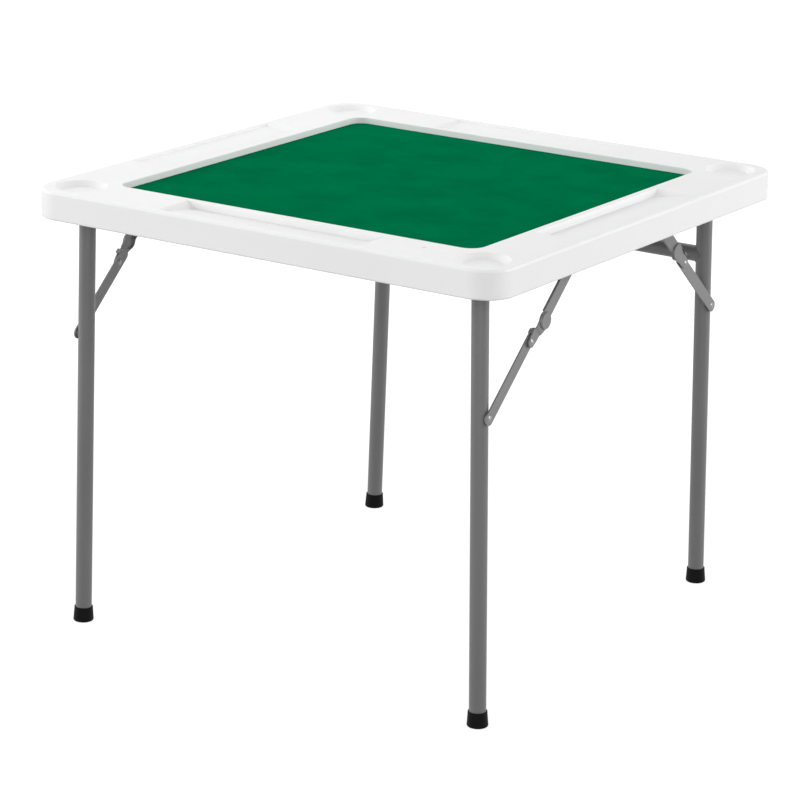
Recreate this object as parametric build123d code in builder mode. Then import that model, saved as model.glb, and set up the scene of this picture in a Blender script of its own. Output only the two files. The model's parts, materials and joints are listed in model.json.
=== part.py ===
"""Folding card table: a moulded plastic top with a cloth playing field, and two
folding steel leg frames held open by jointed knee braces.

Millimetres, +Z up. The origin is on the floor under the middle of the top.
The front legs stand at -Y and the rear legs at +Y, and both frames fold inwards.
"""

from build123d import *
import os
from math import hypot, sqrt

# Overall sizes
table_height = 740
top_width = 880
top_depth = 880
apron_height = 47

# Moulded top
top_corner_radius = 50
top_edge_round = 5
apron_foot_round = 3
lip_wall = 14
panel_thickness = 20
cut_overrun = 5

# Playing field with its board and cloth
rim_width = 100
field_corner_radius = 25
field_depth = 10.5
field_edge_round = 1.5
cloth_thickness = 0.8
board_thickness = 2.7
board_clearance = 0.5
seat_clearance = 0.05

# Chip trays, one in each side of the rim
tray_length = 376
tray_width = 76
tray_margin = 12
tray_inner_depth = 12
tray_outer_depth = 3.5
tray_end_run = 15
tray_wall_run = 1.5
tray_edge_round = 1.2

# Cup recesses, one in each corner of the rim
cup_mouth_diameter = 84
cup_floor_diameter = 64
cup_depth = 9
cup_inset = 60
cup_edge_round = 2

# Moulding vent mark in the front of the rim
vent_diameter = 8
vent_depth = 1
vent_offset = 272
vent_inset = 64

# Underside of the top: a thick ribbed core between the leg channels
core_drop = 14
core_side_margin = 140
core_gap = 34
core_corner_radius = 18
core_draft = 8
dimple_mouth_diameter = 34
dimple_floor_diameter = 18
dimple_depth = 9
dimple_pitch = 112
dimple_columns = 5
dimple_rows = 5
groove_depth = 3.5
groove_play = 1

# Steel tubes
tube_diameter = 27
tube_wall = 1.2
crossbar_diameter = 27
weld_gap = 0.15

# Leg frames: places of the hinges under the top, and how much further out each foot stands
hinge_drop = 38
front_leg_side_inset = 68
front_leg_inset = 66
rear_leg_side_inset = 119.5
rear_leg_inset = 33
leg_splay = 16
crossbar_drop = 122

# Foot caps
cap_height = 25
cap_top_diameter = 30.5
cap_foot_diameter = 34
cap_floor = 5
cap_round = 3
cap_fit = 0.1

# Hinge pins, bushes and push nuts
pin_diameter = 8
pin_plug_length = 16
pin_collar = 1.5
pin_tail = 4
bush_wall = 1.5
bush_flange = 1
bush_flange_rim = 2
running_fit = 0.05
end_play = 0.3
nut_diameter = 15
nut_thickness = 1.2

# Knee braces
brace_drop = 208
brace_run = 232
link_width = 20
lower_link_thickness = 2.5
upper_link_thickness = 2
link_gap = 0.3
knee_shoulder = 2.1
knee_shoulder_diameter = 12
tail_reach = 25
tongue_end_width = 16
tongue_flare = 8.5
tongue_length = 18
neck_start = 23
neck_width = 16
joggle = 1.4
joggle_start = 20
joggle_length = 5
channel_widening = 1
boss_place = 44
boss_offset = 2.5
boss_diameter = 30
boss_height = 3
boss_draft_angle = 22
flange_height = 2.2
flange_start = 53
flange_stop = 20
stop_tab_start = 9.5
stop_tab_length = 8
stop_tab_thickness = 2.5
stop_tab_rise = 1.5
stop_clearance = 0.4

# Rivets
rivet_diameter = 6
rivet_head_diameter = 11
rivet_head_height = 1.8
leg_rivet_head_height = 1.2
rivet_tail_height = 1.3
rivet_tail_flat = 7
blind_tail_diameter = 9
blind_tail_length = 6
saddle_thickness = 2
saddle_diameter = 14
pivot_spacer = 5.3
spacer_diameter = 13

# Side rails and rear brace brackets
steel = 2
rail_height = 28
rail_flange = 15
rail_front_margin = 20
rail_rear_margin = 12
rail_corner = 12
rail_foot_corner = 6
bracket_length = 44
bracket_flange = 17
bracket_corner = 6

# Screws
screw_diameter = 4
screw_length = 6
screw_head_diameter = 8
screw_head_flat = 5
screw_head_height = 2.4
screw_fit = 0.1
rail_screw_shares = [0.07, 0.27, 0.47, 0.66, 0.85]
bracket_screw_spacing = 28
bracket_screw_inset = 7

# Places worked out from the sizes above
top_z = table_height
apron_z = table_height - apron_height
roof_z = table_height - panel_thickness
core_z = roof_z - core_drop
field_width = top_width - 2 * rim_width
field_depth_y = top_depth - 2 * rim_width
cloth_top_z = top_z - field_depth
board_top_z = cloth_top_z - cloth_thickness
pocket_z = board_top_z - board_thickness
tube_radius = tube_diameter / 2
crossbar_radius = crossbar_diameter / 2
bore_radius = tube_radius - tube_wall
half_link = link_width / 2
rivet_radius = rivet_diameter / 2
hinge_height = table_height - hinge_drop
pivot_z = hinge_height - brace_drop
front_hinge_x = top_width / 2 - front_leg_side_inset
rear_hinge_x = top_width / 2 - rear_leg_side_inset
front_y = front_leg_inset - top_depth / 2
rear_y = top_depth / 2 - rear_leg_inset
splay_share = leg_splay / hinge_height
pivot_splay = splay_share * brace_drop

# Brace lengths: straight when the legs stand, folded flat on themselves when the
# legs are up, so both spans between the leg pivot and the top pivot are met exactly.
open_span = hypot(brace_run, brace_drop)
folded_span = brace_run - brace_drop
lower_reach = (open_span - folded_span) / 2
upper_reach = open_span - lower_reach

# Layers of a brace, counted outwards from the side of its leg
lower_face = saddle_thickness
head_face = lower_face + lower_link_thickness + link_gap + knee_shoulder
web_face = head_face + joggle
carrier_face = web_face + upper_link_thickness + pivot_spacer
rail_x = front_hinge_x + pivot_splay + tube_radius + carrier_face
bracket_x = rear_hinge_x + pivot_splay + tube_radius + carrier_face
hinge_half_length = rail_x - bush_flange - end_play - pin_collar
pin_radius = pin_diameter / 2
bush_radius = pin_radius + running_fit + bush_wall

# Rails, brackets and their screws
rail_front = front_y - rail_front_margin
rail_rear = rear_y + rail_rear_margin
rail_foot_z = roof_z - rail_height
rail_screw_x = rail_x + (steel + rail_flange) / 2
rail_screw_ys = [rail_front + share * (rail_rear - rail_front) for share in rail_screw_shares]
top_pivot_y = {"front": front_y + brace_run, "rear": rear_y - brace_run}
bracket_screw_x = bracket_x + bracket_screw_inset
bracket_screw_ys = [
    top_pivot_y["rear"] - bracket_screw_spacing / 2,
    top_pivot_y["rear"] + bracket_screw_spacing / 2,
]
rail_screw_places = [(side * rail_screw_x, y) for side in (-1, 1) for y in rail_screw_ys]
bracket_screw_places = [(side * bracket_screw_x, y) for side in (-1, 1) for y in bracket_screw_ys]

FRAMES = {
    "front": {"hinge_x": front_hinge_x, "leg_y": front_y, "inward": 1},
    "rear": {"hinge_x": rear_hinge_x, "leg_y": rear_y, "inward": -1},
}

os.makedirs("parts", exist_ok=True)


def save(builder, name):
    """Label a finished piece and write it to its own file."""
    builder.part.label = name
    export_step(builder.part, f"parts/{name}.step")


def save_pair(builder, name):
    """Save a right-hand piece and its mirror image on the left."""
    save(builder, f"{name}_right")
    with BuildPart() as twin:
        mirror(builder.part, about=Plane.YZ)
    save(twin, f"{name}_left")


def leg_x_at(frame, z):
    """Distance of a leg's axis from the middle of the table at one height."""
    return frame["hinge_x"] + splay_share * (hinge_height - z)


def leg_plane(frame):
    """Plane along a right-hand leg: x points outwards, y runs up the leg from the floor."""
    up_leg = Vector(-leg_splay, 0, hinge_height).normalized()
    origin = (leg_x_at(frame, 0), frame["leg_y"], 0)
    return Plane(origin=origin, x_dir=up_leg.cross(Vector(0, -1, 0)), z_dir=(0, -1, 0))


def across(plane):
    """The plane square to a leg at the origin of the plane along it."""
    return Plane(origin=plane.origin, x_dir=(0, 1, 0), z_dir=plane.y_dir)


def brace_plane(frame, layer, reach):
    """Plane of one layer of a right-hand brace: x runs up the brace, z points outwards."""
    along = Vector(0, frame["inward"] * brace_run, brace_drop).normalized()
    x = leg_x_at(frame, pivot_z) + tube_radius + layer
    y = frame["leg_y"] + along.Y * reach
    z = pivot_z + along.Z * reach
    return Plane(origin=(x, y, z), x_dir=along, z_dir=(1, 0, 0))


def side_on(plane):
    """The same origin and x direction, with y along the old plane's normal."""
    return Plane(origin=plane.origin, x_dir=plane.x_dir, z_dir=plane.x_dir.cross(plane.z_dir))


def turning_plane(frame, z):
    """Plane through an axis that runs across the table: x along the axis, y outwards from it."""
    return Plane(origin=(0, frame["leg_y"], z), x_dir=(1, 0, 0), z_dir=(0, 1, 0))


def turn(frame, z):
    """Revolve the pending profile about the axis across the table at this height."""
    revolve(axis=Axis((0, frame["leg_y"], z), (1, 0, 0)))


# Chip tray cutter: the floor slopes down towards the middle of the table
with BuildPart() as tray_cutter:
    with BuildSketch(Plane.YZ):
        with BuildLine():
            Polyline(
                (0, cut_overrun),
                (0, 0),
                (tray_wall_run, -tray_inner_depth),
                (tray_width - tray_wall_run, -tray_outer_depth),
                (tray_width, 0),
                (tray_width, cut_overrun),
                close=True,
            )
        make_face()
    extrude(amount=tray_length / 2, both=True)
    with BuildSketch(Plane.XZ):
        with BuildLine():
            Polyline(
                (-tray_length / 2, cut_overrun),
                (-tray_length / 2, 0),
                (tray_end_run - tray_length / 2, -tray_inner_depth),
                (tray_length / 2 - tray_end_run, -tray_inner_depth),
                (tray_length / 2, 0),
                (tray_length / 2, cut_overrun),
                close=True,
            )
        make_face()
    extrude(amount=-(tray_width + cut_overrun), both=True, mode=Mode.INTERSECT)

# Moulded top
tray_reach_x = top_width / 2 - tray_margin - tray_width
tray_reach_y = top_depth / 2 - tray_margin - tray_width
tray_places = [
    Location((0, tray_reach_y, top_z), (0, 0, 0)),
    Location((-tray_reach_x, 0, top_z), (0, 0, 90)),
    Location((0, -tray_reach_y, top_z), (0, 0, 180)),
    Location((tray_reach_x, 0, top_z), (0, 0, 270)),
]
core_width = top_width - 2 * core_side_margin
folded_crossbar_y = rear_y - crossbar_drop
core_front = front_y + tube_radius + core_gap / 2
core_break = folded_crossbar_y - core_gap / 2
core_restart = folded_crossbar_y + core_gap / 2
core_rear = rear_y - tube_radius - core_gap / 2
groove_width = web_face - lower_face + 2 * (upper_link_thickness + groove_play)
groove_length = upper_reach + tail_reach + 2 * link_width

with BuildPart() as top_panel:
    with BuildSketch(Plane.XY.offset(apron_z)):
        RectangleRounded(top_width, top_depth, top_corner_radius)
    extrude(amount=apron_height)
    fillet(top_panel.edges().group_by(Axis.Z)[-1], radius=top_edge_round)
    with BuildSketch(Plane.XY.offset(apron_z)):
        RectangleRounded(top_width - 2 * lip_wall, top_depth - 2 * lip_wall, top_corner_radius - lip_wall)
    extrude(amount=roof_z - apron_z, mode=Mode.SUBTRACT)
    fillet(top_panel.edges().group_by(Axis.Z)[0], radius=apron_foot_round)
    with BuildSketch(Plane.XY.offset(roof_z)):
        with Locations((0, (core_front + core_break) / 2)):
            RectangleRounded(core_width, core_break - core_front, core_corner_radius)
        with Locations((0, (core_restart + core_rear) / 2)):
            RectangleRounded(core_width, core_rear - core_restart, core_corner_radius)
    extrude(amount=-core_drop, taper=core_draft)
    with Locations((0, (core_front + core_break) / 2, core_z)):
        with GridLocations(dimple_pitch, dimple_pitch, dimple_columns, dimple_rows):
            Cone(
                bottom_radius=dimple_mouth_diameter / 2,
                top_radius=dimple_floor_diameter / 2,
                height=dimple_depth,
                align=(Align.CENTER, Align.CENTER, Align.MIN),
                mode=Mode.SUBTRACT,
            )
    for frame in FRAMES.values():
        groove_x = leg_x_at(frame, pivot_z) + tube_radius + (lower_face + web_face) / 2
        groove_y = frame["leg_y"] + frame["inward"] * (brace_run + link_width - groove_length / 2)
        with BuildSketch(Plane.XY.offset(roof_z)):
            with Locations((groove_x, groove_y), (-groove_x, groove_y)):
                SlotOverall(groove_length, groove_width, rotation=90)
        extrude(amount=groove_depth, mode=Mode.SUBTRACT)
    with BuildSketch(Plane.XY.offset(roof_z)):
        with Locations(*rail_screw_places, *bracket_screw_places):
            Circle(screw_diameter / 2 + screw_fit)
    extrude(amount=screw_length, mode=Mode.SUBTRACT)
    with BuildSketch(Plane.XY.offset(top_z)):
        RectangleRounded(field_width, field_depth_y, field_corner_radius)
    extrude(amount=pocket_z - top_z, mode=Mode.SUBTRACT)
    fillet(top_panel.edges(Select.LAST).group_by(Axis.Z)[-1], radius=field_edge_round)
    with Locations((0, 0, top_z)):
        with GridLocations(top_width - 2 * cup_inset, top_depth - 2 * cup_inset, 2, 2):
            Cone(
                bottom_radius=cup_floor_diameter / 2,
                top_radius=cup_mouth_diameter / 2,
                height=cup_depth,
                align=(Align.CENTER, Align.CENTER, Align.MAX),
                mode=Mode.SUBTRACT,
            )
    fillet(top_panel.edges(Select.LAST).group_by(Axis.Z)[-1], radius=cup_edge_round)
    with Locations(*tray_places):
        add(tray_cutter.part, mode=Mode.SUBTRACT)
    fillet(top_panel.edges(Select.LAST).group_by(Axis.Z)[-1], radius=tray_edge_round)
    with Locations((vent_offset, vent_inset - top_depth / 2, top_z)):
        Cylinder(
            vent_diameter / 2,
            vent_depth,
            align=(Align.CENTER, Align.CENTER, Align.MAX),
            mode=Mode.SUBTRACT,
        )
save(top_panel, "top_panel")

# Board and cloth of the playing field
for layer_name, layer_z, layer_thickness in (
    ("felt_board", pocket_z, board_thickness),
    ("felt_cloth", board_top_z, cloth_thickness),
):
    with BuildPart() as layer:
        with BuildSketch(Plane.XY.offset(layer_z)):
            RectangleRounded(
                field_width - 2 * board_clearance,
                field_depth_y - 2 * board_clearance,
                field_corner_radius - board_clearance,
            )
        extrude(amount=layer_thickness)
    save(layer, layer_name)

# Side rails: steel angles under the top that carry the hinges and the front braces
with BuildPart() as side_rail:
    with BuildSketch(Plane.XZ.offset(-rail_front)):
        with BuildLine():
            Polyline(
                (rail_x, roof_z),
                (rail_x + rail_flange, roof_z),
                (rail_x + rail_flange, roof_z - steel),
                (rail_x + steel, roof_z - steel),
                (rail_x + steel, rail_foot_z),
                (rail_x, rail_foot_z),
                close=True,
            )
        make_face()
    extrude(amount=-(rail_rear - rail_front))
    fillet(side_rail.edges().filter_by(Axis.Y).group_by(Axis.X)[0].sort_by(Axis.Z)[-1], radius=steel)
    chamfer(side_rail.edges().filter_by(Axis.Z).group_by(Axis.X)[-1], length=rail_corner)
    chamfer(side_rail.edges().filter_by(Axis.X).group_by(Axis.Z)[0], length=rail_foot_corner)
    with BuildSketch(Plane.YZ.offset(rail_x)):
        with Locations((front_y, hinge_height), (rear_y, hinge_height)):
            Circle(bush_radius + seat_clearance)
        with Locations((top_pivot_y["front"], hinge_height)):
            Circle(rivet_radius + seat_clearance)
    extrude(amount=steel, mode=Mode.SUBTRACT)
    with BuildSketch(Plane.XY.offset(roof_z)):
        with Locations(*[(rail_screw_x, y) for y in rail_screw_ys]):
            Circle(screw_diameter / 2 + screw_fit)
    extrude(amount=-steel, mode=Mode.SUBTRACT)
save_pair(side_rail, "side_rail")

# Rear brace brackets: short steel angles beside the rear legs
with BuildPart() as bracket:
    with BuildSketch(Plane.XZ.offset(-(top_pivot_y["rear"] - bracket_length / 2))):
        with BuildLine():
            Polyline(
                (bracket_x, roof_z),
                (bracket_x + bracket_flange, roof_z),
                (bracket_x + bracket_flange, roof_z - steel),
                (bracket_x + steel, roof_z - steel),
                (bracket_x + steel, rail_foot_z),
                (bracket_x, rail_foot_z),
                close=True,
            )
        make_face()
    extrude(amount=-bracket_length)
    fillet(bracket.edges().filter_by(Axis.Y).group_by(Axis.X)[0].sort_by(Axis.Z)[-1], radius=steel)
    chamfer(bracket.edges().filter_by(Axis.X).group_by(Axis.Z)[0], length=bracket_corner)
    chamfer(bracket.edges().filter_by(Axis.Z).group_by(Axis.X)[-1], length=bracket_corner)
    with BuildSketch(Plane.YZ.offset(bracket_x)):
        with Locations((top_pivot_y["rear"], hinge_height)):
            Circle(rivet_radius + seat_clearance)
    extrude(amount=steel, mode=Mode.SUBTRACT)
    with BuildSketch(Plane.XY.offset(roof_z)):
        with Locations(*[(bracket_screw_x, y) for y in bracket_screw_ys]):
            Circle(screw_diameter / 2 + screw_fit)
    extrude(amount=-steel, mode=Mode.SUBTRACT)
save_pair(bracket, "rear_brace_bracket")

# Screws that hold the rails and brackets up against the top
with BuildPart() as screw:
    with BuildSketch(Plane.XZ):
        with BuildLine():
            Polyline(
                (0, -screw_head_height),
                (screw_head_flat / 2, -screw_head_height),
                (screw_head_diameter / 2, 0),
                (screw_diameter / 2, 0),
                (screw_diameter / 2, steel + screw_length - screw_fit),
                (0, steel + screw_length - screw_fit),
                close=True,
            )
        make_face()
    revolve(axis=Axis.Z)
for screws_name, places in (("rail_screws", rail_screw_places), ("bracket_screws", bracket_screw_places)):
    with BuildPart() as screws:
        with Locations(*[(x, y, roof_z - steel) for x, y in places]):
            add(screw.part)
    save(screws, screws_name)


def hinge_pieces(frame_name, frame):
    """Cross tube, pivot pins, bushes and push nuts of one leg frame's hinge."""
    with BuildPart() as hinge_tube:
        with BuildSketch(Plane.YZ):
            with Locations((frame["leg_y"], hinge_height)):
                Circle(tube_radius)
                Circle(bore_radius, mode=Mode.SUBTRACT)
        extrude(amount=hinge_half_length, both=True)
    save(hinge_tube, f"{frame_name}_hinge_tube")

    collar_x = hinge_half_length + pin_collar
    nut_x = rail_x + steel + end_play
    with BuildPart() as hinge_pin:
        with BuildSketch(turning_plane(frame, hinge_height)):
            with BuildLine():
                Polyline(
                    (hinge_half_length - pin_plug_length, 0),
                    (hinge_half_length - pin_plug_length, bore_radius - seat_clearance),
                    (hinge_half_length, bore_radius - seat_clearance),
                    (hinge_half_length, tube_radius),
                    (collar_x, tube_radius),
                    (collar_x, pin_radius),
                    (nut_x + nut_thickness + pin_tail, pin_radius),
                    (nut_x + nut_thickness + pin_tail, 0),
                    close=True,
                )
            make_face()
        turn(frame, hinge_height)
    save_pair(hinge_pin, f"{frame_name}_hinge_pin")

    with BuildPart() as bush:
        with BuildSketch(turning_plane(frame, hinge_height)):
            with BuildLine():
                Polyline(
                    (rail_x - bush_flange, pin_radius + running_fit),
                    (rail_x - bush_flange, bush_radius + bush_flange_rim),
                    (rail_x, bush_radius + bush_flange_rim),
                    (rail_x, bush_radius),
                    (rail_x + steel, bush_radius),
                    (rail_x + steel, pin_radius + running_fit),
                    close=True,
                )
            make_face()
        turn(frame, hinge_height)
    save_pair(bush, f"{frame_name}_hinge_bush")

    with BuildPart() as nut:
        with BuildSketch(turning_plane(frame, hinge_height)):
            with BuildLine():
                Polyline(
                    (nut_x, nut_diameter / 2),
                    (nut_x + nut_thickness, nut_diameter / 2),
                    (nut_x + 2 * nut_thickness, pin_radius + seat_clearance),
                    (nut_x + nut_thickness, pin_radius + seat_clearance),
                    close=True,
                )
            make_face()
        turn(frame, hinge_height)
    with BuildPart() as nuts:
        add(nut.part)
        mirror(nut.part, about=Plane.YZ)
    save(nuts, f"{frame_name}_push_nuts")


def leg_pieces(frame_name, frame):
    """One leg tube, mouth-cut to seat on the hinge tube, and its foot cap."""
    along = leg_plane(frame)
    leg_y = frame["leg_y"]
    with BuildPart() as leg:
        with BuildSketch(across(along).offset(cap_floor)):
            Circle(tube_radius)
            Circle(bore_radius, mode=Mode.SUBTRACT)
        extrude(amount=hinge_height - cap_floor)
        with BuildSketch(Plane.YZ.offset(frame["hinge_x"] - tube_diameter)):
            with Locations((leg_y, hinge_height)):
                Circle(tube_radius + weld_gap)
        extrude(amount=3 * tube_diameter, mode=Mode.SUBTRACT)
        with BuildSketch(Plane.YZ.offset(leg_x_at(frame, pivot_z))):
            with Locations((leg_y, pivot_z)):
                Circle(rivet_radius + seat_clearance)
        extrude(amount=tube_diameter, mode=Mode.SUBTRACT)
    save_pair(leg, f"{frame_name}_leg")

    with BuildPart() as cap:
        with BuildSketch(along):
            with BuildLine():
                Polyline(
                    (0, -cut_overrun),
                    (cap_foot_diameter / 2, -cut_overrun),
                    (cap_foot_diameter / 2, 0),
                    (cap_top_diameter / 2, cap_height),
                    (tube_radius + cap_fit, cap_height),
                    (tube_radius + cap_fit, cap_floor),
                    (0, cap_floor),
                    close=True,
                )
            make_face()
        revolve(axis=Axis(along.origin, along.y_dir))
        split(bisect_by=Plane.XY, keep=Keep.TOP)
        fillet(cap.edges().group_by(Axis.Z)[0], radius=cap_round)
    save_pair(cap, f"{frame_name}_foot_cap")


def leg_rivet_pieces(frame_name, frame):
    """Blind rivet in the leg's outer wall that carries the lower link, and its saddle washer."""
    along = leg_plane(frame)
    head_radius = rivet_head_diameter / 2
    tail_radius = blind_tail_diameter / 2
    pivot_x = leg_x_at(frame, pivot_z)
    tail_x = pivot_x + sqrt(bore_radius**2 - tail_radius**2) - splay_share * tail_radius - seat_clearance
    head_x = pivot_x + tube_radius + lower_face + lower_link_thickness + seat_clearance
    with BuildPart() as leg_rivet:
        with BuildSketch(turning_plane(frame, pivot_z)):
            with BuildLine():
                Polyline(
                    (tail_x - blind_tail_length, 0),
                    (tail_x - blind_tail_length, rivet_radius),
                    (tail_x, tail_radius),
                    (tail_x, rivet_radius),
                    (head_x, rivet_radius),
                    (head_x, head_radius),
                )
                TangentArc((head_x + leg_rivet_head_height, 0), (head_x, head_radius), tangent=(0, 1))
                Line((head_x + leg_rivet_head_height, 0), (tail_x - blind_tail_length, 0))
            make_face()
        turn(frame, pivot_z)
    save_pair(leg_rivet, f"{frame_name}_leg_rivet")

    with BuildPart() as saddle:
        with BuildSketch(Plane.YZ.offset(pivot_x)):
            with Locations((frame["leg_y"], pivot_z)):
                Circle(saddle_diameter / 2)
                Circle(rivet_radius + seat_clearance, mode=Mode.SUBTRACT)
        extrude(amount=tube_radius + saddle_thickness - seat_clearance)
        with BuildSketch(across(along)):
            Circle(tube_radius + seat_clearance)
        extrude(amount=hinge_height, mode=Mode.SUBTRACT)
    save_pair(saddle, f"{frame_name}_saddle_washer")


def lower_link_pieces(frame_name, frame):
    """Flat lower link with its stop tab, and the set tail of the knee rivet."""
    plane = brace_plane(frame, lower_face, 0)
    tab_x = lower_reach + stop_tab_start + stop_tab_length / 2
    tab_y = frame["inward"] * (half_link + stop_tab_thickness / 2)
    with BuildPart() as lower_link:
        with BuildSketch(plane):
            with Locations(((lower_reach + tail_reach - half_link) / 2, 0)):
                SlotCenterToCenter(lower_reach + tail_reach - half_link, link_width)
            Circle(rivet_radius + running_fit, mode=Mode.SUBTRACT)
            with Locations((lower_reach, 0)):
                Circle(rivet_radius + seat_clearance, mode=Mode.SUBTRACT)
        extrude(amount=lower_link_thickness)
        with BuildSketch(plane):
            with Locations((tab_x, tab_y)):
                Rectangle(stop_tab_length, stop_tab_thickness)
        extrude(amount=head_face - lower_face + upper_link_thickness + stop_tab_rise)
    save_pair(lower_link, f"{frame_name}_lower_link")

    knee = brace_plane(frame, lower_face, lower_reach)
    with BuildPart() as knee_tail:
        with BuildSketch(side_on(knee)):
            with BuildLine():
                Polyline(
                    (0, -rivet_tail_height),
                    (rivet_tail_flat / 2, -rivet_tail_height),
                    (rivet_head_diameter / 2, 0),
                    (rivet_radius, 0),
                    (rivet_radius, lower_link_thickness),
                    (0, lower_link_thickness),
                    close=True,
                )
            make_face()
        revolve(axis=Axis(knee.origin, knee.z_dir))
    save_pair(knee_tail, f"{frame_name}_knee_rivet_tail")


def upper_link_pieces(frame_name, frame):
    """Pressed upper link: a tongue over the knee, a round boss and a channel up to its pivot."""
    plane = brace_plane(frame, head_face, lower_reach)
    up = frame["inward"]
    tongue = half_link - stop_clearance
    channel = tongue + channel_widening
    joggle_end = joggle_start + joggle_length
    sheet = upper_link_thickness
    boss_radius = boss_diameter / 2
    boss_centre = (boss_place, -up * boss_offset)
    with BuildPart() as upper_link:
        with BuildSketch(side_on(plane)):
            with BuildLine():
                Polyline(
                    (-link_width, 0),
                    (joggle_start, 0),
                    (joggle_end, joggle),
                    (upper_reach + link_width, joggle),
                    (upper_reach + link_width, joggle + sheet),
                    (joggle_end, joggle + sheet),
                    (joggle_start, sheet),
                    (-link_width, sheet),
                    close=True,
                )
            make_face()
        extrude(amount=link_width, both=True)
        with BuildSketch(plane):
            Circle(tongue_end_width / 2)
            with BuildLine():
                Polyline(
                    (0, -up * tongue_end_width / 2),
                    (tongue_flare, -up * tongue),
                    (tongue_length, -up * tongue),
                    (boss_place, -up * (boss_offset + boss_radius)),
                    (boss_place, -up * channel),
                    (upper_reach, -up * channel),
                    (upper_reach, up * channel),
                    (boss_place, up * channel),
                    (neck_start, up * neck_width / 2),
                    (tongue_length, up * tongue),
                    (tongue_flare, up * tongue),
                    (0, up * tongue_end_width / 2),
                    close=True,
                )
            make_face()
            with Locations(boss_centre):
                Circle(boss_radius)
            Circle(rivet_radius + seat_clearance, mode=Mode.SUBTRACT)
            with Locations((upper_reach, 0)):
                Circle(channel)
                Circle(rivet_radius + running_fit, mode=Mode.SUBTRACT)
        extrude(amount=joggle + sheet, mode=Mode.INTERSECT)
        with BuildSketch(plane.offset(joggle)):
            with Locations(boss_centre):
                Circle(boss_radius)
        extrude(amount=boss_height + sheet, taper=boss_draft_angle)
        with BuildSketch(plane.offset(joggle)):
            with Locations(boss_centre):
                Circle(boss_radius - sheet)
        extrude(amount=boss_height, taper=boss_draft_angle, mode=Mode.SUBTRACT)
        with BuildSketch(plane.offset(joggle - flange_height)):
            with Locations(((flange_start + upper_reach - flange_stop) / 2, 0)):
                with GridLocations(0, 2 * channel - sheet, 1, 2):
                    Rectangle(upper_reach - flange_stop - flange_start, sheet)
        extrude(amount=flange_height + sheet)
    save_pair(upper_link, f"{frame_name}_upper_link")

    with BuildPart() as knee_rivet:
        with BuildSketch(side_on(plane)):
            with BuildLine():
                Polyline(
                    (0, -knee_shoulder),
                    (knee_shoulder_diameter / 2, -knee_shoulder),
                    (knee_shoulder_diameter / 2, 0),
                    (rivet_radius, 0),
                    (rivet_radius, sheet),
                    (rivet_head_diameter / 2, sheet),
                )
                TangentArc((0, sheet + rivet_head_height), (rivet_head_diameter / 2, sheet), tangent=(1, 0))
                Line((0, sheet + rivet_head_height), (0, -knee_shoulder))
            make_face()
        revolve(axis=Axis(plane.origin, plane.z_dir))
    save_pair(knee_rivet, f"{frame_name}_knee_rivet")


def top_rivet_piece(frame_name, frame):
    """Shouldered rivet that hangs the upper link from its rail or bracket."""
    plane = brace_plane(frame, web_face, open_span)
    sheet_top = upper_link_thickness + seat_clearance
    carrier = upper_link_thickness + pivot_spacer
    with BuildPart() as top_rivet:
        with BuildSketch(side_on(plane)):
            with BuildLine():
                Polyline(
                    (0, -rivet_tail_height - seat_clearance),
                    (rivet_tail_flat / 2, -rivet_tail_height - seat_clearance),
                    (rivet_head_diameter / 2, -seat_clearance),
                    (rivet_radius, -seat_clearance),
                    (rivet_radius, sheet_top),
                    (spacer_diameter / 2, sheet_top),
                    (spacer_diameter / 2, carrier),
                    (rivet_radius, carrier),
                    (rivet_radius, carrier + steel),
                    (rivet_head_diameter / 2, carrier + steel),
                    (rivet_tail_flat / 2, carrier + steel + rivet_tail_height),
                    (0, carrier + steel + rivet_tail_height),
                    close=True,
                )
            make_face()
        revolve(axis=Axis(plane.origin, plane.z_dir))
    save_pair(top_rivet, f"{frame_name}_top_rivet")


for frame_name, frame in FRAMES.items():
    hinge_pieces(frame_name, frame)
    leg_pieces(frame_name, frame)
    leg_rivet_pieces(frame_name, frame)
    lower_link_pieces(frame_name, frame)
    upper_link_pieces(frame_name, frame)
    top_rivet_piece(frame_name, frame)

# Crossbar between the rear legs, mouth-cut at both ends
crossbar_height = hinge_height - crossbar_drop
with BuildPart() as crossbar:
    with BuildSketch(Plane.YZ):
        with Locations((rear_y, crossbar_height)):
            Circle(crossbar_radius)
            Circle(crossbar_radius - tube_wall, mode=Mode.SUBTRACT)
    extrude(amount=leg_x_at(FRAMES["rear"], crossbar_height), both=True)
    for side in (-1, 1):
        up_leg = Vector(-side * leg_splay, 0, hinge_height)
        foot = (side * leg_x_at(FRAMES["rear"], 0), rear_y, 0)
        with BuildSketch(Plane(origin=foot, x_dir=(0, 1, 0), z_dir=up_leg)):
            Circle(tube_radius + weld_gap)
        extrude(amount=hinge_height, mode=Mode.SUBTRACT)
save(crossbar, "rear_crossbar")
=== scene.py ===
"""Folding card table: the finishes, felt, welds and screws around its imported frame.

A moulded white top with a green felt field stands on two grey steel leg frames,
held open by riveted knee braces. Metres, +Z up, with the origin on the floor under
the middle of the top.
"""

import bmesh
import bpy
import json
import math
from bpy.props import FloatProperty, FloatVectorProperty, IntProperty, PointerProperty
from mathutils import Matrix, Vector, noise

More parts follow.
